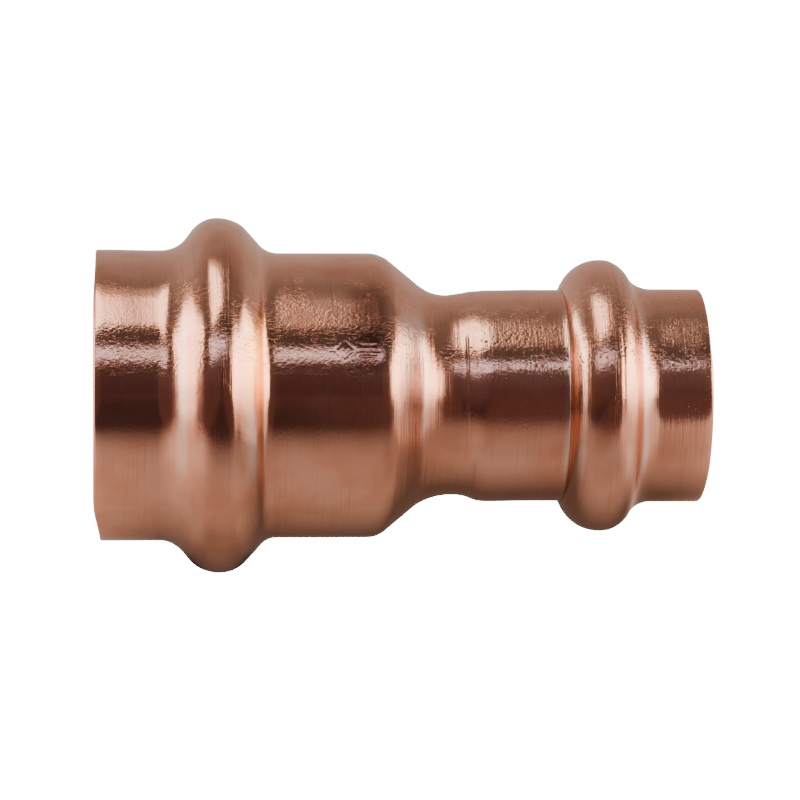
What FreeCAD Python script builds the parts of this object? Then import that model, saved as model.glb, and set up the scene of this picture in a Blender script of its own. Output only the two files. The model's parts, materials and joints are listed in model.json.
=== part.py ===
"""Press-connect reducing coupling, 3/4 in by 1/2 in nominal copper tube.

One length of copper tube is formed into the whole body: a lead-in collar, a hollow bead and a
cup at each end, with a cone and a neck between the two cups. A rubber O-ring sits in each bead.

Units are millimetres. +X runs along the axis from the large mouth to the small mouth, +Z is up,
and the origin is the centre of the large mouth.
"""
import FreeCAD, Part
import math
import os

# Copper tube that each socket takes (ASTM B88 outside diameters)
LARGE_TUBE_D = 22.225
SMALL_TUBE_D = 15.875

# Body
TUBE_CLEARANCE = 0.1125     # radial gap between a cup and the tube in it
WALL = 1.15                 # wall of the formed tube
COLLAR_EASE = 0.07          # a collar's bore is this much wider in radius than its cup's
MOUTH_ROUND = 0.25          # deburred edge at each mouth
LENGTH = 53.05              # mouth to mouth
SHORTEST_RUN = 1e-6         # two arcs whose ends are nearer than this simply meet

# Large end, axial places measured from the large mouth
LARGE_COLLAR_R = 12.59
LARGE_BEAD_R = 15.46
LARGE_BEAD_X = 10.86
LARGE_CREST_ROUND = 3.1
LARGE_COLLAR_FLANK_ANGLE = 52.5
LARGE_CUP_FLANK_ANGLE = 48.0
LARGE_COLLAR_FILLET = 2.7
LARGE_CUP_FILLET = 2.0

# Middle
SHOULDER_X = 24.71          # where the cup's wall and the cone would meet if unrounded
SHOULDER_ROUND = 2.6
CONE_ANGLE = 39.0
NECK_R = 8.71
NECK_FILLET = 4.5
STEP_X = 31.70              # where the neck starts to widen into the small cup
STEP_ANGLE = 15.0
STEP_ROUND = 6.6

# Small end
SMALL_COLLAR_R = 9.275
SMALL_BEAD_R = 11.89
SMALL_BEAD_X = 44.25
SMALL_CUP_SIDE_ROUND = 3.7  # the crest is fuller towards the cup than towards the collar
SMALL_COLLAR_SIDE_ROUND = 2.75
SMALL_CUP_FLANK_ANGLE = 77.0
SMALL_COLLAR_FLANK_ANGLE = 61.0
SMALL_CUP_CREASE = 0.2
SMALL_COLLAR_FILLET = 2.3

# O-rings
SEAL_REACH = 0.06           # how far a ring's hole is smaller in radius than the tube
SEAT_GAP = 0.02             # gap left between a ring and the crown of its bead

large_cup_bore_r = LARGE_TUBE_D / 2 + TUBE_CLEARANCE
small_cup_bore_r = SMALL_TUBE_D / 2 + TUBE_CLEARANCE
large_cup_r = large_cup_bore_r + WALL
small_cup_r = small_cup_bore_r + WALL
large_collar_wall = LARGE_COLLAR_R - large_cup_bore_r - COLLAR_EASE
small_collar_wall = SMALL_COLLAR_R - small_cup_bore_r - COLLAR_EASE


def slope(angle):
    return math.tan(math.radians(angle))


def bead_top(bead_x, bead_r, near_round, near_angle, far_round, far_angle):
    """The two corners above a bead's crest, whose roundings meet on the crest."""
    near_reach = near_round * slope(near_angle / 2)
    far_reach = far_round * slope(far_angle / 2)
    return (bead_x - near_reach, bead_r, near_round), (bead_x + far_reach, bead_r, far_round)


def outer_corners():
    """Corners of the outside, large mouth to small mouth, each as X, radius and rounding."""
    large_near, large_far = bead_top(
        LARGE_BEAD_X, LARGE_BEAD_R,
        LARGE_CREST_ROUND, LARGE_COLLAR_FLANK_ANGLE, LARGE_CREST_ROUND, LARGE_CUP_FLANK_ANGLE)
    small_near, small_far = bead_top(
        SMALL_BEAD_X, SMALL_BEAD_R,
        SMALL_CUP_SIDE_ROUND, SMALL_CUP_FLANK_ANGLE, SMALL_COLLAR_SIDE_ROUND, SMALL_COLLAR_FLANK_ANGLE)
    large_collar_end = large_near[0] - (LARGE_BEAD_R - LARGE_COLLAR_R) / slope(LARGE_COLLAR_FLANK_ANGLE)
    large_cup_start = large_far[0] + (LARGE_BEAD_R - large_cup_r) / slope(LARGE_CUP_FLANK_ANGLE)
    neck_start = SHOULDER_X + (large_cup_r - NECK_R) / slope(CONE_ANGLE)
    step_end = STEP_X + (small_cup_r - NECK_R) / slope(STEP_ANGLE)
    small_cup_end = small_near[0] - (SMALL_BEAD_R - small_cup_r) / slope(SMALL_CUP_FLANK_ANGLE)
    small_collar_start = small_far[0] + (SMALL_BEAD_R - SMALL_COLLAR_R) / slope(SMALL_COLLAR_FLANK_ANGLE)
    return [
        (large_collar_end, LARGE_COLLAR_R, LARGE_COLLAR_FILLET),
        large_near,
        large_far,
        (large_cup_start, large_cup_r, LARGE_CUP_FILLET),
        (SHOULDER_X, large_cup_r, SHOULDER_ROUND),
        (neck_start, NECK_R, NECK_FILLET),
        (STEP_X, NECK_R, STEP_ROUND),
        (step_end, small_cup_r, STEP_ROUND),
        (small_cup_end, small_cup_r, SMALL_CUP_CREASE),
        small_near,
        small_far,
        (small_collar_start, SMALL_COLLAR_R, SMALL_COLLAR_FILLET),
    ]


def inset_line(start, end, depth):
    """A line's point and direction after it moves inwards, to its right, by depth."""
    direction = (end - start).normalize()
    inwards = FreeCAD.Vector(direction.z, 0, -direction.x)
    return start + inwards * depth, direction


def crossing(first, second):
    """Point where two lines in the XZ plane cross."""
    (point_a, along_a), (point_b, along_b) = first, second
    gap = point_b - point_a
    turn = along_a.x * along_b.z - along_a.z * along_b.x
    return point_a + along_a * ((gap.x * along_b.z - gap.z * along_b.x) / turn)


def inner_corners(outer):
    """Corners of the inside: the outside moved inwards by the wall, rounded to match."""
    points = [FreeCAD.Vector(0, 0, LARGE_COLLAR_R)]
    points += [FreeCAD.Vector(x, 0, r) for x, r, rounding in outer]
    points += [FreeCAD.Vector(LENGTH, 0, SMALL_COLLAR_R)]
    walls = [WALL] * (len(points) - 1)
    walls[0] = large_collar_wall
    walls[-1] = small_collar_wall
    lines = [inset_line(points[i], points[i + 1], walls[i]) for i in range(len(walls))]
    corners = []
    for i, (x, r, rounding) in enumerate(outer):
        before, after = lines[i], lines[i + 1]
        bulges_out = before[1].z > after[1].z
        inner_rounding = rounding - WALL if bulges_out else rounding + WALL
        corner = crossing(before, after)
        corners.append((corner.x, corner.z, inner_rounding))
    return corners


def corner_arc(before, corner, after, rounding):
    """Start, middle and end of the arc that rounds a corner."""
    to_before = (before - corner).normalize()
    to_after = (after - corner).normalize()
    half = to_before.getAngle(to_after) / 2
    reach = rounding / math.tan(half)
    towards_centre = (to_before + to_after).normalize()
    middle = corner + towards_centre * (rounding / math.sin(half) - rounding)
    return corner + to_before * reach, middle, corner + to_after * reach


def rounded_outline(corners):
    """Closed wire in the XZ plane of straight runs joined by tangent arcs."""
    points = [FreeCAD.Vector(x, 0, r) for x, r, rounding in corners]
    arcs = []
    for i, (x, r, rounding) in enumerate(corners):
        after = points[(i + 1) % len(points)]
        arcs.append(corner_arc(points[i - 1], points[i], after, rounding))
    edges = []
    for i, (start, middle, end) in enumerate(arcs):
        run_start = arcs[i - 1][2]
        if run_start.distanceToPoint(start) > SHORTEST_RUN:
            edges.append(Part.LineSegment(run_start, start).toShape())
        edges.append(Part.Arc(start, middle, end).toShape())
    return Part.Wire(Part.__sortEdges__(edges))


def turned(outline):
    """Solid made by turning an outline round the X axis."""
    face = Part.Face(outline)
    return face.revolve(FreeCAD.Vector(0, 0, 0), FreeCAD.Vector(1, 0, 0), 360)


def fitting_body():
    """The formed copper body: collars, beads, cups, cone and neck in one piece."""
    outer = outer_corners()
    inner = inner_corners(outer)
    corners = [(0, LARGE_COLLAR_R, MOUTH_ROUND)]
    corners += outer
    corners += [(LENGTH, SMALL_COLLAR_R, MOUTH_ROUND)]
    corners += [(LENGTH, SMALL_COLLAR_R - small_collar_wall, MOUTH_ROUND)]
    corners += reversed(inner)
    corners += [(0, LARGE_COLLAR_R - large_collar_wall, MOUTH_ROUND)]
    return turned(rounded_outline(corners))


def o_ring(tube_d, bead_r, bead_x):
    """A ring of round section between the tube's surface and the crown of its bead."""
    hole_r = tube_d / 2 - SEAL_REACH
    outside_r = bead_r - WALL - SEAT_GAP
    section_r = (outside_r - hole_r) / 2
    return Part.makeTorus(hole_r + section_r, section_r, FreeCAD.Vector(bead_x, 0, 0),
                          FreeCAD.Vector(1, 0, 0))


nodes = {
    "fitting_body": fitting_body(),
    "large_o_ring": o_ring(LARGE_TUBE_D, LARGE_BEAD_R, LARGE_BEAD_X),
    "small_o_ring": o_ring(SMALL_TUBE_D, SMALL_BEAD_R, SMALL_BEAD_X),
}

os.makedirs("parts", exist_ok=True)
for name, solid in nodes.items():
    solid.exportStep(f"parts/{name}.step")
    box = solid.optimalBoundingBox()
    print(name, solid.ShapeType, "valid", solid.isValid(), f"volume {solid.Volume:.1f} mm3",
          f"x {box.XMin:.2f}..{box.XMax:.2f}", f"radius {box.ZMax:.3f}")
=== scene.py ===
"""Looks for the 3/4 in by 1/2 in copper press reducer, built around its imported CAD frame.

Everything is in metres in the frame's own axes: +X from the large mouth to the small one, +Z up.
"""
import json
import math
from types import SimpleNamespace

import bpy
import numpy as np
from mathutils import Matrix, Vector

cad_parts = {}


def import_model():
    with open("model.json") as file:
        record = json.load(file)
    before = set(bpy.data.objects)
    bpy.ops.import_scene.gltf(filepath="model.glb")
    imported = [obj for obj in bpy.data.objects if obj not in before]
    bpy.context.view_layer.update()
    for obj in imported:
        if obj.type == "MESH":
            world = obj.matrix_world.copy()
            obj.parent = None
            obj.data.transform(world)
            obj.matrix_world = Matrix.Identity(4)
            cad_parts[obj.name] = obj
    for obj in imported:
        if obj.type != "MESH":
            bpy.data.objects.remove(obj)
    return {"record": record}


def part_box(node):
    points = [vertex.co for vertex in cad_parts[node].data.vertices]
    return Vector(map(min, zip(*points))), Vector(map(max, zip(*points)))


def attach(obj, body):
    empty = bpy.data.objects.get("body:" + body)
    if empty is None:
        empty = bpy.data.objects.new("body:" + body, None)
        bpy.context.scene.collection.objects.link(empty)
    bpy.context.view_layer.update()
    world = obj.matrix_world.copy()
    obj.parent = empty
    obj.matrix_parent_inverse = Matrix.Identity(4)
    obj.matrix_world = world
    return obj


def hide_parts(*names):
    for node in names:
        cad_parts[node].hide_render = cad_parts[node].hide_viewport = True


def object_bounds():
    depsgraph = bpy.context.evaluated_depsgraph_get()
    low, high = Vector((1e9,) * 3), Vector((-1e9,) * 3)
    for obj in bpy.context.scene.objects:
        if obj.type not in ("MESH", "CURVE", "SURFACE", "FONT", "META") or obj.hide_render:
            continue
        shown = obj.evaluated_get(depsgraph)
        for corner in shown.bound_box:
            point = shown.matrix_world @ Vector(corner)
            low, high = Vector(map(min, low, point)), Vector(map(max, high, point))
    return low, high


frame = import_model()
cad_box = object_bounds()

MM = 0.001

# ---------------------------------------------------------------- sizes from the frame
body_low, body_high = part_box("fitting_body")
LENGTH = body_high.x / MM
LARGE_BEAD_R = body_high.z / MM
mounts = {m["name"]: m for m in frame["record"]["mounts"]}
LARGE_BORE_R = mounts["large_socket"]["dims"]["r_mm"]
SMALL_BORE_R = mounts["small_socket"]["dims"]["r_mm"]


def ring_place(node):
    """Axial centre, hole radius and section radius of an O-ring of the frame, in millimetres."""
    low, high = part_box(node)
    section_r = (high.x - low.x) / 2 / MM
    return (high.x + low.x) / 2 / MM, high.z / MM - 2 * section_r, section_r


RING_PLACES = {node: ring_place(node) for node in ("large_o_ring", "small_o_ring")}
LARGE_RING_X = RING_PLACES["large_o_ring"][0]
SMALL_RING_X = RING_PLACES["small_o_ring"][0]

# ---------------------------------------------------------------- sizes of the visible body, mm
WALL = 1.15
COLLAR_EASE = 0.07
MOUTH_ROUND = 0.22
LARGE_COLLAR_R = 12.59
LARGE_CUP_R = LARGE_BORE_R + WALL
SMALL_CUP_R = SMALL_BORE_R + WALL
SMALL_COLLAR_R = 9.275
SMALL_BEAD_R = 11.89
NECK_R = 8.71
SHOULDER_X, SHOULDER_ROUND = 24.71, 2.6     # where the large cup turns into the cone
CONE_ANGLE, NECK_FILLET = 39.0, 4.5
STEP_X, STEP_ANGLE, STEP_ROUND = 31.70, 15.0, 6.6   # where the neck widens into the small cup

# A bead's flanks, each as its foot's rounding, its crest's rounding and its angle in degrees
LARGE_COLLAR_FLANK = (2.7, 3.1, 52.5)
LARGE_CUP_FLANK = (2.0, 3.1, 48.0)
SMALL_CUP_FLANK = (0.2, 3.7, 77.0)
SMALL_COLLAR_FLANK = (2.3, 2.75, 61.0)

# ---------------------------------------------------------------- spacing of the mesh's points, mm
OUTSIDE_RUN_STEP, INSIDE_RUN_STEP = 0.55, 1.2
OUTSIDE_ARC_STEP, INSIDE_ARC_STEP = 0.18, 0.4
MOUTH_ARC_STEP = 0.12
TOOL_LINE_STEP = 0.11               # on the arcs with the neck's line and the small bead's crease
FORMING_LINE_STEP = 0.05
COLUMN_STEP = 1.8                   # degrees
SAME_PLACE = 1e-6

# ---------------------------------------------------------------- marks of making, mm and degrees
MARK_X, MARK_PHI = 22.0, 17.5       # middle of the pressed mark on the large cup
MARK_HALF_LENGTH, MARK_HALF_ARC = 1.9, 7    # room that the mark takes along X and round it
MARK_DEPTH = 0.013
MARK_LINE = 0.1                     # half the width of the mark's lines
MARK_ROW_STEP, MARK_COLUMNS = 0.1, 31
FORMING_LINE_X = 31.98              # crease left by the tool where the neck starts to widen
NECK_LINE_X = 28.62                 # line left by the tool where the cone meets the neck
WAIST_START, WAIST_END = 28.6, 33.3     # shallow waist of the neck
WAIST_FALL, WAIST_RISE = 2.9, 2.0       # the longer, the gentler it deepens and ends
BEAD_CREASE_X = 45.1                # crease on the small bead's flank towards its collar

# Swelling away from the beads' crests, and the lowering that keeps the crests inside the CAD's box
OFF_CREST_SWELL, LOWERING = 0.05, 0.012
CREST_HALF_WIDTH = 1.5

# Shallow dents: X, angle, half length along X, half length round it and depth
DENTS = (
    (9.9, 38, 0.7, 4.5, 0.03),
    (18.5, 52, 3, 3, 0.02),
    (38.0, -8, 3.5, 2.5, 0.012),
    (4.0, -35, 2.5, 4, 0.015),
)

# Shifts along X on the side towards -Y: size, and the stretch of X that moves
NEAR_SHIFTS = (
    (-0.6, (4.5, 6.6, 7.3, 9.1)),           # large bead's flank towards its collar
    (-0.35, (11.4, 12.5, 12.8, 14.3)),      # large bead's flank towards its cup
    (-0.62, (12.9, 15.9, 15.9, 19)),        # large bead's foot towards its cup
    (0.5, (21.5, 24.3, 25.3, 28.2)),        # shoulder
)


def slope(angle):
    return math.tan(math.radians(angle))


def bead(x, top_r, near, far):
    """Four corners of a bead: its two feet and the two corners over its crest.

    near and far each hold the foot's radius and rounding, the crest's rounding and the flank's angle.
    """
    corners = []
    for side, (foot_r, foot_round, crest_round, angle) in ((-1, near), (1, far)):
        shoulder_x = x + side * crest_round * slope(angle / 2)
        foot_x = shoulder_x + side * (top_r - foot_r) / slope(angle)
        corners.append([(shoulder_x, top_r, crest_round), (foot_x, foot_r, foot_round)])
    return corners[0][::-1] + corners[1]


def outside_corners():
    """Corners of the outside as X, radius and rounding, from the large mouth to the small mouth."""
    neck_x = SHOULDER_X + (LARGE_CUP_R - NECK_R) / slope(CONE_ANGLE)
    small_cup_x = STEP_X + (SMALL_CUP_R - NECK_R) / slope(STEP_ANGLE)
    corners = bead(LARGE_RING_X, LARGE_BEAD_R,
                   near=(LARGE_COLLAR_R, *LARGE_COLLAR_FLANK),
                   far=(LARGE_CUP_R, *LARGE_CUP_FLANK))
    corners += [(SHOULDER_X, LARGE_CUP_R, SHOULDER_ROUND),
                (neck_x, NECK_R, NECK_FILLET),
                (STEP_X, NECK_R, STEP_ROUND),
                (small_cup_x, SMALL_CUP_R, STEP_ROUND)]
    corners += bead(SMALL_RING_X, SMALL_BEAD_R,
                    near=(SMALL_CUP_R, *SMALL_CUP_FLANK),
                    far=(SMALL_COLLAR_R, *SMALL_COLLAR_FLANK))
    return corners


def inset(corners, walls):
    """The corners moved inwards by each run's wall, with roundings kept concentric."""
    ends = [(0.0, LARGE_COLLAR_R)] + [c[:2] for c in corners] + [(LENGTH, SMALL_COLLAR_R)]
    lines = []
    for (x0, r0), (x1, r1), wall in zip(ends, ends[1:], walls):
        run = math.hypot(x1 - x0, r1 - r0)
        ux, ur = (x1 - x0) / run, (r1 - r0) / run
        lines.append((x0 + ur * wall, r0 - ux * wall, ux, ur))
    moved = []
    for (px, pr, ux, ur), (qx, qr, vx, vr), (_, _, rounding) in zip(lines, lines[1:], corners):
        t = ((qx - px) * vr - (qr - pr) * vx) / (ux * vr - ur * vx)
        moved.append((px + t * ux, pr + t * ur, rounding - WALL if ur > vr else rounding + WALL))
    return moved


def corner_arc(before, corner, after, rounding, step):
    """Points of the arc that rounds a corner."""
    to_before = (before - corner) / np.linalg.norm(before - corner)
    to_after = (after - corner) / np.linalg.norm(after - corner)
    half = math.acos(float(to_before @ to_after)) / 2
    turn = math.pi - 2 * half
    centre = corner + (to_before + to_after) / (2 * math.cos(half)) * rounding / math.sin(half)
    start = corner + to_before * rounding / math.tan(half) - centre
    end = corner + to_after * rounding / math.tan(half) - centre
    share = np.linspace(0, 1, max(3, math.ceil(turn * rounding / step)) + 1)[:, None]
    return centre + (start * np.sin((1 - share) * turn) + end * np.sin(share * turn)) / math.sin(turn)


def rounded_path(corners, run_step, arc_step):
    """Points along an open path from its first corner to its last, the others rounded."""
    places = [np.array(corner[:2], float) for corner in corners]
    arcs = []
    for before, place, after, corner in zip(places, places[1:], places[2:], corners[1:]):
        arcs.append(corner_arc(before, place, after, corner[2], arc_step(corner[0])))
    path = [places[0]]
    for arc in arcs + [places[-1][None]]:
        gap = arc[0] - path[-1]
        count = math.ceil(np.linalg.norm(gap) / run_step)
        path += [path[-1] + gap * k / count for k in range(1, count)]
        path += list(arc if np.linalg.norm(gap) > SAME_PLACE else arc[1:])
    return np.array(path)


def with_mark_rows(path):
    """The outside with closer points along the stretch of cup that holds the pressed mark."""
    low, high = MARK_X - MARK_HALF_LENGTH, MARK_X + MARK_HALF_LENGTH
    before, after = path[path[:, 0] < low], path[path[:, 0] > high]
    rows = np.arange(low, high, MARK_ROW_STEP)
    return np.concatenate([before, np.stack([rows, np.full(len(rows), LARGE_CUP_R)], axis=1), after])


def outside_arc_step(x):
    """Distance between the points of the arc that rounds the outside's corner at X."""
    if abs(x - STEP_X) < 0.1:
        return FORMING_LINE_STEP
    has_neck_line = 28 < x < 30
    has_bead_crease = SMALL_RING_X < x < SMALL_RING_X + 3
    return TOOL_LINE_STEP if has_neck_line or has_bead_crease else OUTSIDE_ARC_STEP


def inside_arc_step(x):
    """Distance between the points of the arc that rounds the inside's corner at X."""
    return INSIDE_ARC_STEP if 1 < x < LENGTH - 1 else MOUTH_ARC_STEP


def body_outline():
    """Outline of the body's wall in two paths: the outside's points and the inside's."""
    outer = outside_corners()
    walls = [WALL] * (len(outer) + 1)
    walls[0] = LARGE_COLLAR_R - LARGE_BORE_R - COLLAR_EASE
    walls[-1] = SMALL_COLLAR_R - SMALL_BORE_R - COLLAR_EASE
    large_face = (0.0, LARGE_COLLAR_R - walls[0] / 2)
    small_face = (LENGTH, SMALL_COLLAR_R - walls[-1] / 2)
    outside = [large_face, (0.0, LARGE_COLLAR_R, MOUTH_ROUND)] + outer
    outside += [(LENGTH, SMALL_COLLAR_R, MOUTH_ROUND), small_face]
    inside = [small_face, (LENGTH, SMALL_COLLAR_R - walls[-1], MOUTH_ROUND)]
    inside += inset(outer, walls)[::-1]
    inside += [(0.0, LARGE_COLLAR_R - walls[0], MOUTH_ROUND), large_face]
    path = with_mark_rows(rounded_path(outside, OUTSIDE_RUN_STEP, outside_arc_step))
    back = rounded_path(inside, INSIDE_RUN_STEP, inside_arc_step)
    return path, back[1:-1]


def eased(value, low, high):
    """0 below low, 1 above high and a smooth step between."""
    share = np.clip((value - low) / (high - low), 0, 1)
    return share * share * (3 - 2 * share)


def window(value, rise_start, rise_end, fall_start, fall_end):
    """0 outside a stretch, 1 inside it, eased at both ends."""
    return eased(value, rise_start, rise_end) * (1 - eased(value, fall_start, fall_end))


def hump(value, middle, half_width):
    """1 in the middle and falling away to 0 on both sides."""
    return np.exp(-((value - middle) / half_width) ** 2)


def arc_window(phi, *degrees):
    """1 over an arc round the axis and 0 outside it, its four eased ends in degrees."""
    return window(phi, *[math.radians(angle) for angle in degrees])


def formed_x(x, phi):
    """X after forming and cutting: beads, cone and mouths stand slightly askew.

    phi is the angle round the axis, 0 on the side towards -Y and a quarter turn on the top.
    """
    top = np.sin(phi)
    near = np.maximum(np.cos(phi), 0)
    crest = hump(x, LARGE_RING_X, CREST_HALF_WIDTH)
    on_large_bead = window(x, 5.5, 7.5, 13.5, 16.5)
    narrower_top = 0.035 * (x - LARGE_RING_X) * top * on_large_bead
    leaning_top = 0.1 * top * crest * on_large_bead
    moved = x - narrower_top - leaning_top
    low_cut = 0.58 * eased(-top, 0.75, 1.03)
    high_cut = 0.22 * eased(top, 0.6, 1.05)
    moved = moved + (low_cut + high_cut) * (1 - eased(x, 0.2, 4.5))
    wider_foot = 0.17 * np.maximum(top, 0) ** 2 * window(x, 11.5, 13, 16, 18)
    tilted_cone = 0.12 * top * window(x, 23.5, 26, 28, 29.5)
    moved = moved + wider_foot + tilted_cone
    for size, stretch in NEAR_SHIFTS:
        moved = moved + near * size * window(x, *stretch)
    near_crest = 0.1 * near * crest
    narrower_small_bead = (0.115 + 0.055 * top) * window(x, 44.4, 45.8, 47, 48.2)
    small_cut = 0.1 * eased(np.abs(top + 0.25), 0.4, 0.8) * eased(x, 50, 53)
    return moved - near_crest - narrower_small_bead - small_cut


def formed_r(x, r, phi):
    """Radius after forming: the neck and collar swell a little and the section is slightly oval."""
    top = np.sin(phi)
    raised_step = 0.085 * window(x, 30.2, 31.8, 32.3, 33.2)
    lowered_cup = 0.05 * window(x, 33, 33.5, 34.5, 38)
    swollen_collar = 0.05 * window(x, -1, 0.2, 1.5, 5) * (0.6 + 0.4 * top)
    moved = r + top * (raised_step - lowered_cup) + swollen_collar
    oval = 0.012 * np.sin(2 * phi + 0.09 * x) + 0.007 * np.sin(3 * phi - 0.13 * x + 1)
    crests = hump(x, LARGE_RING_X, CREST_HALF_WIDTH) + hump(x, SMALL_RING_X, CREST_HALF_WIDTH)
    off_crest = 1 - crests
    return moved + (oval + OFF_CREST_SWELL) * off_crest - LOWERING


def dent(x, phi, r, centre_x, centre_phi, half_x, half_arc, depth):
    """Depth of a shallow dent with its middle at a place on the body, all in mm but phi."""
    across = (x - centre_x) / half_x
    along = (phi - math.radians(centre_phi)) * r / half_arc
    return depth * np.exp(-(across ** 2 + along ** 2))


def mark_depth(x, phi, r):
    """Depth of the pressed mark: a diamond's outline and three bars."""
    across = x - MARK_X
    along = (phi - math.radians(MARK_PHI)) * r
    diamond_x, diamond_half, diamond_half_arc, diamond_slant = -0.8, 0.9, 0.85, 0.61
    bars_x = 0.95
    outline = np.abs(across - diamond_x) / diamond_half + np.abs(along) / diamond_half_arc - 1
    lines = [np.abs(outline) * diamond_slant]
    for bar, half_length in ((-0.5, 0.6), (0.0, 0.85), (0.5, 0.6)):
        past_end = np.abs(across - bars_x) - half_length + MARK_LINE
        lines.append(np.maximum(np.abs(along - bar), past_end))
    away = np.minimum.reduce(lines)
    return MARK_DEPTH * (1 - eased(away, MARK_LINE * 0.5, MARK_LINE * 1.5))


def tool_marks(x, r, phi):
    """How far the outside lies below the formed shape: mark, creases, dents and draw ripples."""
    depth = mark_depth(x, phi, r)
    depth = depth + 0.055 * arc_window(phi, -36, -28, 32, 38) * hump(x, FORMING_LINE_X, 0.1)
    near_side = arc_window(phi, -75, -35, 45, 80)
    waist = np.minimum((x - WAIST_START) / WAIST_FALL, (WAIST_END - x) / WAIST_RISE)
    depth = depth + 0.12 * near_side * np.maximum(waist, 0)
    depth = depth + 0.015 * near_side * hump(x, NECK_LINE_X, 0.09)
    cone_rings = np.sin(2.6 * (x - 25.2)) * window(x, 24.9, 25.4, 27.2, 28.2)
    depth = depth + 0.014 * near_side * cone_rings
    high = eased(phi, math.radians(15), math.radians(65))
    crease = hump(x, BEAD_CREASE_X - 0.4 * high, 0.12)
    depth = depth + 0.045 * crease * arc_window(phi, -30, 20, 60, 85)
    for place in DENTS:
        depth = depth + dent(x, phi, r, *place)
    drawn = window(x, 24.5, 26, 31.5, 34) + 0.25 * window(x, 33, 35, 40, 41)
    ripple = np.sin(7.4 * x) + np.sin(4.3 * x + 1.3)
    ripple = ripple + 0.7 * np.sin(2.9 * x + 2 + 0.4 * np.sin(2 * phi))
    return depth + 0.004 * drawn * (1.7 + ripple)


def grid_mesh(name, x, r, phi, seams):
    """Closed mesh whose rows and columns both join up, from X, radius and angle in mm and radians.

    seams holds the rows' and the columns' places from 0 to 1, which become the texture coordinates.
    """
    rows, columns = x.shape
    coords = np.stack([x, -r * np.cos(phi), r * np.sin(phi)], axis=-1) * MM
    i, j = np.meshgrid(np.arange(rows), np.arange(columns), indexing="ij")
    next_i, next_j = (i + 1) % rows, (j + 1) % columns
    quads = np.stack([i * columns + j, next_i * columns + j, next_i * columns + next_j,
                      i * columns + next_j], axis=-1).reshape(-1, 4)
    mesh = bpy.data.meshes.new(name)
    mesh.from_pydata(coords.reshape(-1, 3).tolist(), [], quads.tolist())
    mesh.polygons.foreach_set("use_smooth", [True] * len(quads))
    v = np.append(seams[0], 1.0)
    u = np.append(seams[1], 1.0)
    corners = [(u[j], v[i]), (u[j], v[i + 1]), (u[j + 1], v[i + 1]), (u[j + 1], v[i])]
    uv = np.stack([np.stack(corner, axis=-1) for corner in corners], axis=2)
    mesh.uv_layers.new(name="OFBake").data.foreach_set("uv", uv.reshape(-1))
    mesh.update()
    piece = bpy.data.objects.new(name, mesh)
    bpy.context.scene.collection.objects.link(piece)
    return piece


def along_outline(points):
    """Each point's share of the way round a closed outline."""
    steps = np.linalg.norm(np.diff(points, axis=0, append=points[:1]), axis=1)
    return np.concatenate([[0], np.cumsum(steps)[:-1]]) / steps.sum()


def body_columns():
    """Angles of the body's columns from the far side round, closer together over the mark."""
    low, high = math.radians(MARK_PHI - MARK_HALF_ARC), math.radians(MARK_PHI + MARK_HALF_ARC)
    even = math.radians(COLUMN_STEP)
    before = np.linspace(-math.pi, low, round((low + math.pi) / even), endpoint=False)
    fine = np.linspace(low, high, MARK_COLUMNS, endpoint=False)
    after = np.linspace(high, math.pi, round((math.pi - high) / even), endpoint=False)
    return np.concatenate([before, fine, after])


def copper_body():
    """The body's mesh; its attribute "lining" is 1 on the inside of the tube and 0 outside."""
    outside, inside = body_outline()
    points = np.concatenate([outside, inside])
    columns = body_columns()
    phi = np.broadcast_to(columns, (len(points), len(columns)))
    x = np.broadcast_to(points[:, :1], phi.shape)
    r = np.broadcast_to(points[:, 1:], phi.shape)
    is_outside = (np.arange(len(points)) < len(outside))[:, None]
    moved_r = formed_r(x, r, phi) - tool_marks(x, r, phi) * is_outside
    seams = (along_outline(points), (columns + math.pi) / (2 * math.pi))
    piece = grid_mesh("copper_body", formed_x(x, phi), moved_r, phi, seams)
    lining = piece.data.attributes.new("lining", "FLOAT", "POINT")
    lining.data.foreach_set("value", np.repeat(1.0 - is_outside[:, 0], len(columns)))
    return piece


def o_ring(name, centre_x, hole_r, section_r):
    """An O-ring with the fine flash lines that its mould leaves on the inside and the outside."""
    section_points, ring_columns = 72, 160
    flash_width, flash_height = 0.05, 0.014
    bare_size, unevenness = 0.982, 0.002
    section = np.linspace(0, 2 * math.pi, section_points, endpoint=False)
    columns = np.linspace(-math.pi, math.pi, ring_columns, endpoint=False)
    flash = np.exp(-(np.sin(section) / flash_width) ** 2)
    size = section_r * (bare_size + flash_height * flash)
    around, phi = np.meshgrid(section, columns, indexing="ij")
    size = size[:, None] * (1 + unevenness * np.sin(5 * phi))
    x = centre_x - size * np.sin(around)
    r = hole_r + section_r + size * np.cos(around)
    seams = (section / (2 * math.pi), (columns + math.pi) / (2 * math.pi))
    return grid_mesh(name, x, r, phi, seams)


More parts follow.
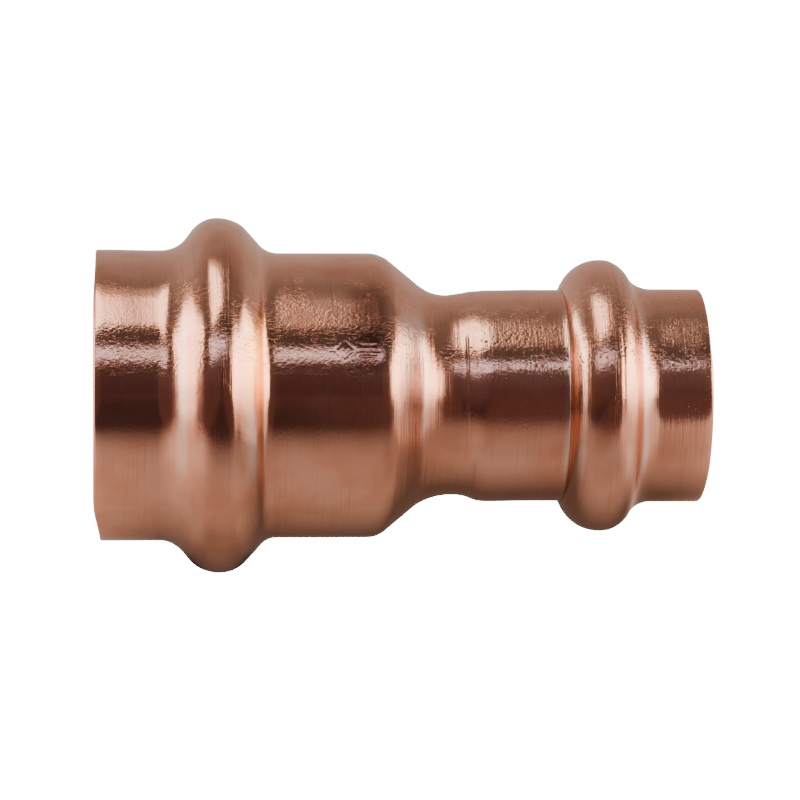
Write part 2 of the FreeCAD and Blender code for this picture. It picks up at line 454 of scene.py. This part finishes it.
# ---------------------------------------------------------------- materials
class Graph:
    """Short ways to add the nodes of one node tree."""

    def __init__(self, tree):
        self.tree = tree
        self.nodes = tree.nodes

    def join(self, socket, value):
        if isinstance(value, bpy.types.NodeSocket):
            self.tree.links.new(value, socket)
        else:
            socket.default_value = value

    def add(self, kind, **inputs):
        """A node with the named inputs joined to values or to other nodes' sockets."""
        node = self.nodes.new(kind)
        for name, value in inputs.items():
            self.join(node.inputs[name.replace("_", " ")], value)
        return node

    def vector(self, operation, first, second=(0, 0, 0)):
        """Vector maths; SCALE takes a number as its second part."""
        node = self.nodes.new("ShaderNodeVectorMath")
        node.operation = operation
        self.join(node.inputs[0], first)
        self.join(node.inputs["Scale" if operation == "SCALE" else 1], second)
        return node.outputs["Vector"]

    def value(self, operation, first, second=0.0):
        node = self.nodes.new("ShaderNodeMath")
        node.operation = operation
        self.join(node.inputs[0], first)
        self.join(node.inputs[1], second)
        return node.outputs[0]

    def times(self, *values):
        product = values[0]
        for value in values[1:]:
            product = self.value("MULTIPLY", product, value)
        return product

    def total(self, *values):
        added = values[0]
        for value in values[1:]:
            added = self.value("ADD", added, value)
        return added

    def between(self, value, low, high, to_low=0.0, to_high=1.0):
        """Eases a value from one range to another and stops at the ends."""
        node = self.nodes.new("ShaderNodeMapRange")
        node.interpolation_type = "SMOOTHSTEP"
        for name, part in zip(("Value", "From Min", "From Max", "To Min", "To Max"),
                              (value, low, high, to_low, to_high)):
            self.join(node.inputs[name], part)
        return node.outputs[0]

    def stretch(self, value, rise_start, rise_end, fall_start, fall_end):
        """0 outside a stretch, 1 inside it, eased at both ends."""
        rise = self.between(value, rise_start, rise_end)
        return self.times(rise, self.between(value, fall_end, fall_start))

    def noise(self, place, scale, detail=3.0, roughness=0.55):
        return self.add("ShaderNodeTexNoise", Vector=place, Scale=scale, Detail=detail,
                        Roughness=roughness).outputs[0]

    def spots(self, place, scale, size):
        """1 in the middle of scattered round spots and 0 between them."""
        node = self.add("ShaderNodeTexVoronoi", Vector=place, Scale=scale)
        return self.between(node.outputs["Distance"], size, 0.0)

    def blend(self, factor, first, second):
        node = self.nodes.new("ShaderNodeMix")
        node.data_type = "RGBA"
        self.join(node.inputs["Factor"], factor)
        self.join(node.inputs["A"], first)
        self.join(node.inputs["B"], second)
        return node.outputs["Result"]

    def millimetres(self):
        """Place on the object in millimetres, and its X, Y and Z."""
        coords = self.nodes.new("ShaderNodeTexCoord")
        place = self.vector("SCALE", coords.outputs["Object"], 1 / MM)
        split = self.add("ShaderNodeSeparateXYZ", Vector=place)
        return place, split.outputs["X"], split.outputs["Y"], split.outputs["Z"]

    def round_x(self, place, along, around):
        """Place stretched by one scale along X and by another round it, with no seam."""
        direction = self.vector("NORMALIZE", self.vector("MULTIPLY", place, (0, 1, 1)))
        lengthwise = self.vector("MULTIPLY", place, (along, 0, 0))
        return self.vector("ADD", self.vector("SCALE", direction, around), lengthwise)


def new_material(name):
    material = bpy.data.materials.new(name)
    material.use_nodes = True
    graph = Graph(material.node_tree)
    return material, graph, graph.nodes["Principled BSDF"]


def copper_patterns(graph):
    """Where the copper is worn, marked or tarnished, for its colour, roughness and relief."""
    place, x, y, z = graph.millimetres()
    on = SimpleNamespace(x=x, y=y, z=z)
    on.small_end = graph.between(x, 31.0, 33.0)
    on.cone = graph.stretch(x, 24.3, 25.5, 31.0, 33.5)
    on.crest = graph.total(graph.stretch(x, 9.6, 10.4, 11.5, 12.2),
                           graph.stretch(x, 43.2, 43.8, 45.0, 45.6))
    on.scuffed = graph.between(graph.noise(place, 0.3, detail=2.0), 0.38, 0.62)
    upper = graph.times(graph.stretch(z, 5.4, 6.4, 9.0, 12.0), graph.between(x, 4.0, 15.0, 0.15, 0.5),
                        graph.total(on.scuffed, 0.35))
    lower = graph.times(graph.stretch(z, 1.2, 2.8, 5.4, 6.4), 1.3)
    on.handled_side = graph.times(graph.total(lower, upper), graph.between(y, 2.0, -2.0))
    lining = graph.add("ShaderNodeAttribute")
    lining.attribute_name = "lining"
    on.inside = lining.outputs["Fac"]

    on.draw_marks = graph.noise(graph.round_x(place, along=5.0, around=2.0), 1.0, 4.0, 0.6)
    on.grain = graph.noise(place, 3.3, 2.0, 0.6)
    on.patches = graph.noise(place, 0.16, 3.0, 0.6)
    lengthwise = graph.noise(graph.round_x(place, along=0.7, around=45.0), 1.0, detail=2.0)
    scratch_line = graph.value("ABSOLUTE", graph.value("SUBTRACT", lengthwise, 0.5))
    on.scratches = graph.times(graph.between(scratch_line, 0.015, 0.0), on.scuffed,
                               graph.total(on.handled_side, 0.15))
    rubs = graph.noise(graph.round_x(place, along=9.0, around=3.5), 1.0, detail=3.0)
    on.rubbed = graph.times(graph.between(rubs, 0.56, 0.64), on.crest)
    pitted = graph.times(graph.between(graph.noise(place, 0.5, detail=2.0), 0.4, 0.6),
                         graph.total(graph.times(on.handled_side, 0.8), 0.2))
    pit_size = graph.times(pitted, graph.between(on.small_end, 0.0, 1.0, 0.14, 0.42))
    on.pits = graph.spots(place, 2.4, pit_size)
    return on


def copper_colour(graph, on):
    """Bright copper with tarnish, draw marks, pits and a browner lining, plus painted light on the side
    towards -Y: an orange reflection on the large bead's foot, pale highlights in the hollows and a darker
    patch on the shoulder.
    """
    bright, tarnished, streaked = (0.83, 0.455, 0.335, 1), (0.76, 0.375, 0.26, 1), (0.64, 0.28, 0.19, 1)
    reflected_orange, pale, darker_brown = (0.92, 0.52, 0.24, 1), (0.84, 0.58, 0.48, 1), (0.36, 0.17, 0.12, 1)
    pit_brown, lining_brown = (0.20, 0.08, 0.05, 1), (0.62, 0.36, 0.27, 1)
    colour = graph.blend(graph.between(on.patches, 0.35, 0.7), bright, tarnished)
    colour = graph.blend(graph.between(on.draw_marks, 0.5, 0.8, 0.0, 0.35), colour, streaked)

    large_foot = graph.stretch(on.x, 12.4, 13.4, 14.1, 14.8)
    # Painted reflection: an orange tint on the large bead's foot, on the side towards -Y, stands in for
    # light bounced between the bead and the cup.
    painted_reflection_foot = graph.times(large_foot, graph.between(on.y, -4.0, -9.0),
                              graph.stretch(on.z, -2.5, 0.5, 5.0, 8.0))
    colour = graph.blend(graph.times(painted_reflection_foot, 0.8), colour, reflected_orange)

    cone_end = graph.times(graph.stretch(on.x, 25.9, 26.5, 28.0, 28.8), graph.between(on.z, -5.0, -2.0))
    collar_foot = graph.times(graph.stretch(on.x, 6.7, 7.2, 7.6, 8.1), 0.7)
    small_feet = graph.total(graph.stretch(on.x, 40.0, 40.6, 41.5, 42.1),
                             graph.stretch(on.x, 46.0, 46.4, 47.2, 47.7))
    hollows = graph.total(graph.times(large_foot, graph.between(on.z, 0.0, -2.5)), cone_end,
                          collar_foot, small_feet)
    # Painted highlight: the hollows at mid-height on the side towards -Y are turned pale, standing in for
    # bright reflections there.
    painted_highlight_in_hollows = graph.times(hollows, graph.stretch(on.z, -8.5, -5.0, 5.0, 8.5),
                               graph.between(on.y, -3.0, -7.0))
    colour = graph.blend(graph.times(painted_highlight_in_hollows, 0.8), colour, pale)

    # Darker, broken-up patch on the upper shoulder of the large cup, on the side towards -Y.
    darker_shoulder_patch = graph.times(graph.stretch(on.x, 20.5, 23.2, 23.8, 25.4),
                                graph.stretch(on.z, 1.5, 3.0, 8.2, 9.8),
                                graph.between(on.y, 0.0, -4.0),
                                graph.between(on.patches, 0.3, 0.5, 0.5, 0.8))
    colour = graph.blend(darker_shoulder_patch, colour, darker_brown)
    colour = graph.blend(graph.times(on.pits, 0.8), colour, pit_brown)
    return graph.blend(graph.times(on.inside, 0.6), colour, lining_brown)


def copper_height(graph, on):
    """Relief of the copper in millimetres: draw marks, grain, scratches, rubbed crests and pits."""
    draw_depth = graph.total(graph.times(on.cone, 0.02), graph.times(on.small_end, 0.019), 0.002)
    grain_depth = graph.total(graph.times(on.scuffed, 0.005), graph.times(on.handled_side, 0.010),
                              graph.times(on.small_end, 0.003), 0.003)
    return graph.total(graph.times(on.draw_marks, draw_depth), graph.times(on.grain, grain_depth),
                       graph.times(on.scratches, -0.005), graph.times(on.rubbed, -0.004),
                       graph.times(on.pits, -0.02))


def copper():
    """Drawn copper: patches of tarnish, fine grain, draw marks round it, scratches and pits."""
    material, graph, shader = new_material("drawn_copper")
    on = copper_patterns(graph)
    graph.join(shader.inputs["Base Color"], copper_colour(graph, on))
    roughness = graph.total(graph.between(on.patches, 0.3, 0.75, 0.14, 0.17),
                            graph.times(on.small_end, 0.03), graph.times(on.cone, 0.05),
                            graph.times(on.crest, 0.02), graph.times(on.rubbed, 0.06),
                            graph.times(on.pits, 0.25), graph.times(on.inside, 0.18))
    graph.join(shader.inputs["Roughness"], roughness)
    shader.inputs["Metallic"].default_value = 1.0
    shader.inputs["Specular Tint"].default_value = (1.0, 0.9, 0.84, 1)
    shader.inputs["Anisotropic"].default_value = 0.5
    shader.inputs["Anisotropic Rotation"].default_value = 0.25
    tangent = graph.add("ShaderNodeTangent")
    tangent.direction_type = "RADIAL"
    tangent.axis = "X"
    graph.join(shader.inputs["Tangent"], tangent.outputs[0])
    bump = graph.add("ShaderNodeBump", Distance=MM, Height=copper_height(graph, on))
    graph.join(shader.inputs["Normal"], bump.outputs[0])
    return material


def rubber():
    """Black rubber with a faint bloom and a fine moulded grain."""
    material, graph, shader = new_material("seal_rubber")
    place = graph.millimetres()[0]
    black, bloomed = (0.014, 0.014, 0.016, 1), (0.034, 0.033, 0.034, 1)
    bloom = graph.between(graph.noise(place, 0.5, detail=4.0), 0.4, 0.75)
    graph.join(shader.inputs["Base Color"], graph.blend(bloom, black, bloomed))
    graph.join(shader.inputs["Roughness"], graph.between(bloom, 0.0, 1.0, 0.36, 0.55))
    grain = graph.times(graph.noise(place, 6.0, detail=2.0), 0.006)
    bump = graph.add("ShaderNodeBump", Distance=MM, Height=grain)
    graph.join(shader.inputs["Normal"], bump.outputs[0])
    return material


# ---------------------------------------------------------------- studio
CENTRE = (body_low + body_high) / 2
CARD_DISTANCE = 0.6                 # m from the object to a softbox
TABLE_SIZE, TABLE_GAP = 4.0, 0.00002        # m: half the table's side, and its gap under the part
OVERHEAD_WHITE = (1.0, 0.98, 0.95, 1)
SIDE_WHITE = (1.0, 0.93, 0.86, 1)
SKY_WHITE = (0.9, 1.04, 1.3, 1)
# What the room gives off: degrees from the front over the top to the back, and radiance
ROOM_STOPS = (
    (0, 0.085), (22, 0.1), (50, 0.12), (62, 0.19),
    (90, 0.24), (115, 0.36), (140, 0.45), (180, 0.5),
)


def studio_direction(elevation, sideways):
    """Unit vector from the object: elevation from the -Y side over the top, sideways towards +X."""
    e, s = math.radians(elevation), math.radians(sideways)
    return np.array([math.sin(s), -math.cos(s) * math.cos(e), math.cos(s) * math.sin(e)])


def emitter(name, colour, strength):
    """Material that only gives off light."""
    material = bpy.data.materials.new(name)
    material.use_nodes = True
    graph = Graph(material.node_tree)
    graph.nodes.clear()
    light = graph.add("ShaderNodeEmission", Color=colour, Strength=strength)
    graph.add("ShaderNodeOutputMaterial", Surface=light.outputs[0])
    return material


def flat_sheet(name, corners, material):
    mesh = bpy.data.meshes.new(name)
    mesh.from_pydata([tuple(corner) for corner in corners], [], [(0, 1, 2, 3)])
    mesh.materials.append(material)
    sheet = bpy.data.objects.new(name, mesh)
    bpy.context.scene.collection.objects.link(sheet)
    return sheet


def add_panel(name, corners, radiance, colour=SIDE_WHITE):
    """A flat lit card that lights the part and its reflections and is hidden from the camera."""
    material = emitter(name, colour, radiance)
    panel = flat_sheet(name, corners, material)
    panel.visible_camera = False
    panel.visible_shadow = False
    return material


def softbox(name, directions, radiance, colour=OVERHEAD_WHITE):
    """A flat card with its four corners in directions given as elevation and sideways angle."""
    rays = np.array([studio_direction(*direction) for direction in directions])
    middle = rays.mean(axis=0) / np.linalg.norm(rays.mean(axis=0))
    corners = [np.array(CENTRE) + CARD_DISTANCE * ray / float(ray @ middle) for ray in rays]
    add_panel(name, corners, radiance, colour)


def wall(name, x, near_y, far_y, top, fade, radiance):
    """A card that stands on the table to one side, dimmer at its foot and towards its top."""
    low = cad_box[0].z
    foot_top_mm, foot_share = 70.0, 0.6
    corners = [(x, near_y, low), (x, far_y, low), (x, far_y, top), (x, near_y, top)]
    material = add_panel(name, corners, radiance)
    graph = Graph(material.node_tree)
    z = graph.millimetres()[3]
    strength = graph.times(graph.between(z, low / MM, foot_top_mm, foot_share, 1.0),
                           graph.between(z, top / MM, (top - fade) / MM), radiance)
    graph.join(graph.nodes["Emission"].inputs["Strength"], strength)


def table_brightness(graph, x, y):
    """How bright the table looks in reflections, lower under the part and higher to its sides."""
    shade = graph.between(y, -11.0, 4.0, 0.0, 0.3)
    under = graph.between(x, -3.0, 9.0, 0.4, 1.0)
    near_sides = graph.total(graph.between(x, 50.0, 62.0, 0.0, 0.3),
                             graph.between(x, 8.0, -14.0, 0.0, 0.32))
    far_sides = graph.total(graph.between(x, 70.0, 200.0, 0.0, 0.7),
                            graph.between(x, -20.0, -150.0, 0.0, 0.8))
    # Painted shade on the table in front of the small end, and a painted contact shadow under the large
    # bead; both are seen only in reflections.
    painted_shade_by_small_cup = graph.times(graph.stretch(x, 24.0, 32.0, 48.0, 58.0), graph.between(y, -8.0, -14.0), -0.06)
    painted_contact_shadow = graph.times(graph.stretch(x, 5.0, 9.0, 13.0, 17.0), graph.between(y, -12.0, -8.0), -0.12)
    back = graph.between(y, 300.0, 1500.0, 0.0, 0.25)
    plain = 0.47
    return graph.total(plain, graph.times(shade, under, -1.0), painted_contact_shadow, painted_shade_by_small_cup, near_sides,
                       far_sides, back)


def table_front(graph, x, y):
    """1 on the dark front of the table, which narrows from both sides towards the part."""
    forward = graph.times(graph.total(y, 30.0), -1.0)
    left_edge = graph.total(x, 44.5, graph.times(forward, 2.72))
    right_edge = graph.total(graph.times(forward, 1.2), 53.0, graph.times(x, -1.0))
    return graph.times(graph.between(y, -14.0, -42.0), graph.between(left_edge, -20.0, 20.0),
                       graph.between(right_edge, -3.0, 3.0))


def table():
    """Pale table: pure white to the camera, and to reflections shaded under and in front of the part."""
    z = cad_box[0].z - TABLE_GAP
    white, tint = (1, 1, 1, 1), (1.0, 0.93, 0.88)
    front_middle, front_sides = (0.092, 0.073, 0.083, 1), (0.155, 0.116, 0.12, 1)
    white_strength = 5.0
    material = emitter("pale_table", white, 1.0)
    graph = Graph(material.node_tree)
    x, y = graph.millimetres()[1:3]
    aside = graph.value("ABSOLUTE", graph.total(x, -6.0))
    front = graph.blend(graph.between(aside, 12.0, 22.0), front_middle, front_sides)
    lit = graph.vector("SCALE", tint, table_brightness(graph, x, y))
    colour = graph.blend(table_front(graph, x, y), lit, front)
    seen = graph.add("ShaderNodeLightPath").outputs["Is Camera Ray"]
    light = graph.nodes["Emission"]
    graph.join(light.inputs["Color"], graph.blend(seen, colour, white))
    graph.join(light.inputs["Strength"], graph.between(seen, 0.0, 1.0, 1.0, white_strength))
    size = TABLE_SIZE
    flat_sheet("table", [(-size, -size, z), (size, -size, z), (size, size, z), (-size, size, z)], material)


def world():
    """Soft light that grows from the dark front over the top to the pale back."""
    scene_world = bpy.data.worlds.new("studio")
    bpy.context.scene.world = scene_world
    scene_world.use_nodes = True
    graph = Graph(scene_world.node_tree)
    graph.nodes.clear()
    coords = graph.add("ShaderNodeTexCoord")
    split = graph.add("ShaderNodeSeparateXYZ", Vector=coords.outputs["Generated"])
    towards_front = graph.times(split.outputs["Y"], -1.0)
    share = graph.times(graph.value("ARCTAN2", split.outputs["Z"], towards_front), 1 / math.pi)
    ramp = graph.add("ShaderNodeValToRGB", Fac=share)
    ramp.color_ramp.interpolation = "EASE"
    elements = ramp.color_ramp.elements
    while len(elements) < len(ROOM_STOPS):
        elements.new(0.5)
    coolest, full_warmth_at = 0.76, 50
    for element, (elevation, radiance) in zip(elements, ROOM_STOPS):
        element.position = elevation / 180
        warmth = coolest + (1 - coolest) * min(1, elevation / full_warmth_at)
        element.color = (radiance, radiance * warmth, radiance * (warmth + 1) / 2, 1)
    aside = graph.value("ABSOLUTE", graph.total(split.outputs["X"], -0.02))
    low_front = graph.times(graph.between(share, 0.2, 0.1), graph.between(aside, 0.02, 0.10))
    light = graph.vector("SCALE", ramp.outputs[0], graph.total(graph.times(low_front, 0.8), 1.0))
    path = graph.add("ShaderNodeLightPath")
    colour = graph.blend(path.outputs["Is Camera Ray"], light, (5, 5, 5, 1))
    background = graph.add("ShaderNodeBackground", Color=colour)
    graph.add("ShaderNodeOutputWorld", Surface=background.outputs[0])


def studio():
    """Three soft cards over the front, a wall on each side, the table and the room."""
    key_front_left, key_front_right = (47, -28), (57, -0.3)
    key_back_right, key_back_left = (82, -0.3), (99, -24)
    edge_back_right, edge_back_left = (91, -0.3), (105, -26)
    softbox("key_softbox", [key_front_left, key_front_right, key_back_right, key_back_left], 2.15)
    softbox("key_edge", [key_back_right, edge_back_right, edge_back_left, key_back_left], 0.7)
    softbox("strip_softbox", [(42, -40), (22, -36), (27.5, 2), (34, 20)], 1.25, SKY_WHITE)
    wall("right_wall", x=0.37, near_y=-0.40, far_y=0.07, top=0.28, fade=0.13, radiance=3.2)
    wall("left_wall", x=-0.33, near_y=-0.135, far_y=0.30, top=0.27, fade=0.07, radiance=2.6)
    table()
    world()


def camera():
    """Level camera in front, slightly towards the large end and just below the axis."""
    distance, yaw, drop = 0.368, math.radians(4.3), 0.00041
    view_width, aim_x = 0.0699, 0.02675
    data = bpy.data.cameras.new("camera")
    data.sensor_width = 36
    data.lens = data.sensor_width * distance / view_width
    data.clip_start = 0.01
    piece = bpy.data.objects.new("camera", data)
    bpy.context.scene.collection.objects.link(piece)
    piece.location = (aim_x - distance * math.sin(yaw), -distance * math.cos(yaw), -drop)
    piece.rotation_euler = (math.pi / 2, 0, -yaw)
    bpy.context.scene.camera = piece


camera()
studio()
view_settings = bpy.context.scene.view_settings
view_settings.view_transform = "AgX"
view_settings.look = "AgX - High Contrast"

body = copper_body()
body.data.materials.append(copper())
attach(body, "root")
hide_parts("fitting_body")
rubber_material = rubber()
for node, place in RING_PLACES.items():
    ring = o_ring(node + "_moulded", *place)
    ring.data.materials.append(rubber_material)
    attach(ring, "root")
    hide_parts(node)
